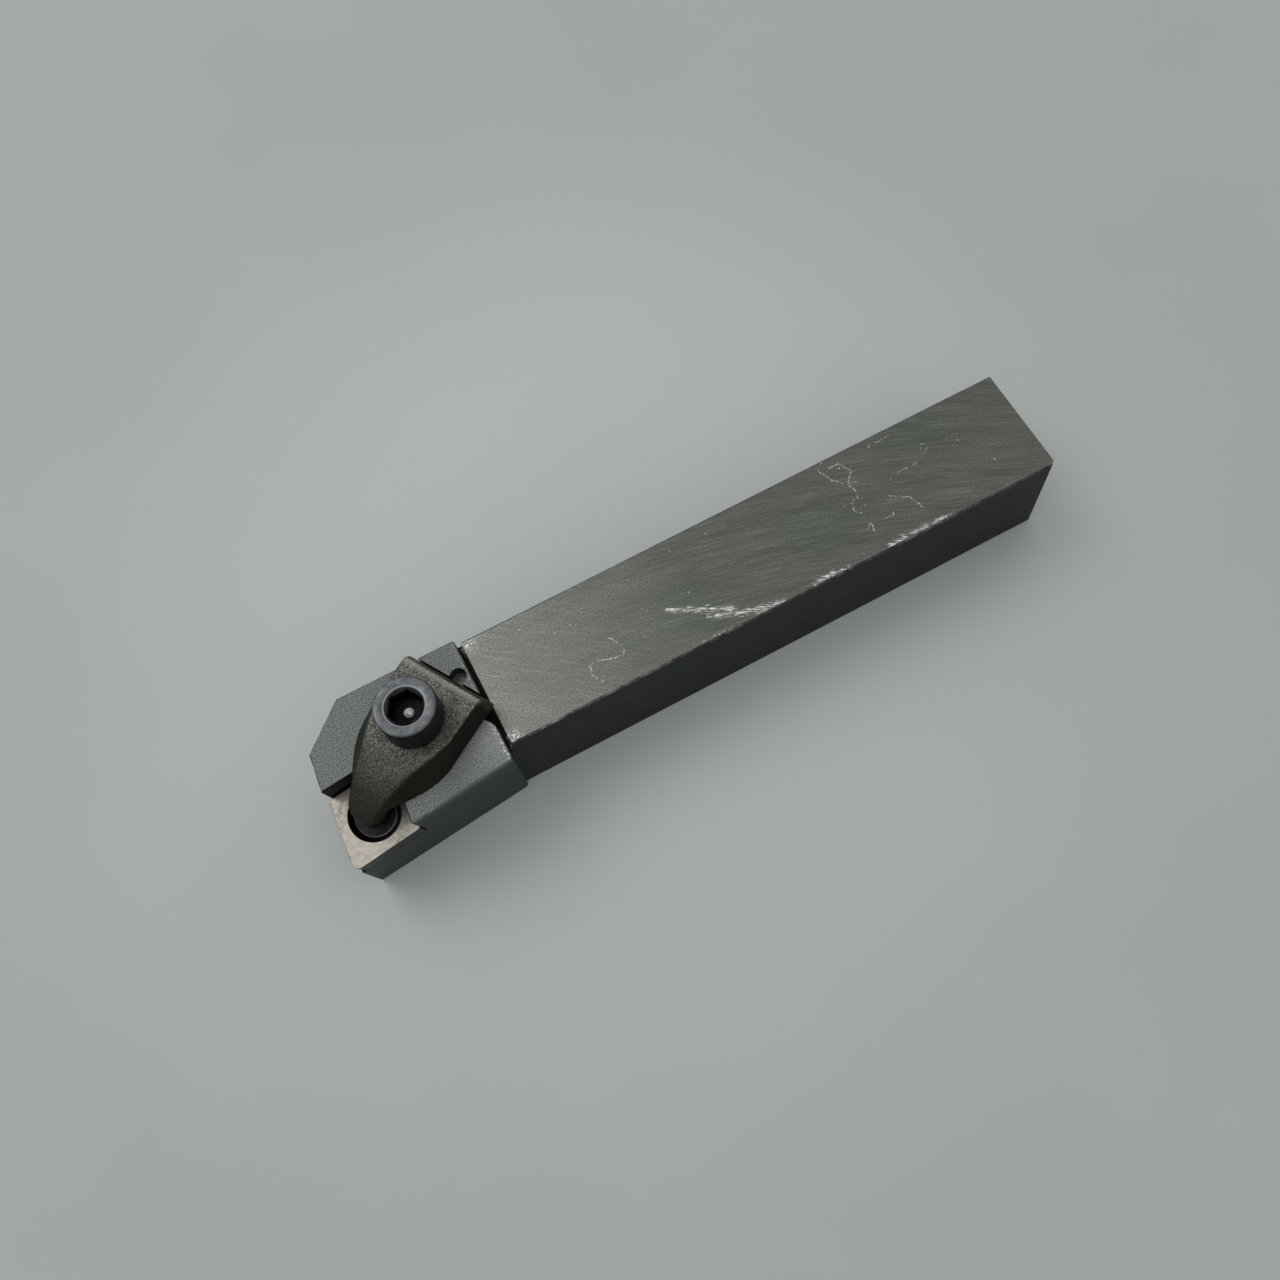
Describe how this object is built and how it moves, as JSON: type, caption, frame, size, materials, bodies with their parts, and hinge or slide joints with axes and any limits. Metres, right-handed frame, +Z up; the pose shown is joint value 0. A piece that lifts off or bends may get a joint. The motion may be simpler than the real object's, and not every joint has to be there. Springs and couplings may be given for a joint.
{
  "type": "turning tool holder",
  "caption": "Right-hand external turning tool holder: square shank, angled head with a leaning insert pocket and shim, and a top clamp drawn down by a socket-head screw.",
  "frame": {"origin": "middle of the bar's underside, on the resting face", "axes": "+X along the bar to its rear end, the cutting head towards -X; +Y to the far side, the cutting side faces -Y; +Z up"},
  "size_m": [0.133, 0.0262, 0.0322],
  "materials": {
    "holder": "ground and blackened steel, finely blasted at the head",
    "shim": "ground carbide",
    "shim_screw": "blackened steel",
    "clamp": "precision-cast steel, bronze-brown tempered skin",
    "clamp_screw": "blackened high-tensile steel, worn bright at the rim",
    "retaining_ring": "spring steel",
    "clamp_spring": "spring wire"
  },
  "bodies": {
    "holder": {"holder": "holder", "shim": "shim", "shim_screw": "shim_screw"},
    "clamp": {"clamp": "clamp", "clamp_spring": "clamp_spring"},
    "clamp_screw": {"clamp_screw": "clamp_screw", "retaining_ring": "retaining_ring"}
  },
  "joints": [
    {"name": "clamp_lift", "type": "slide", "parent": "holder", "child": "clamp", "axis": [0, 0, 1], "range_m": [0, 0.007], "deforming": ["clamp_spring"]},
    {"name": "screw_turn", "type": "hinge", "parent": "clamp", "child": "clamp_screw", "pos_m": [-0.06271, -0.00098, 0.022], "axis": [0, 0, 1], "range_deg": [0, 2519]}
  ],
  "couplings": [
    {"joint": "screw_turn", "follows": "clamp_lift", "rad_per_m": 6283.2}
  ]
}
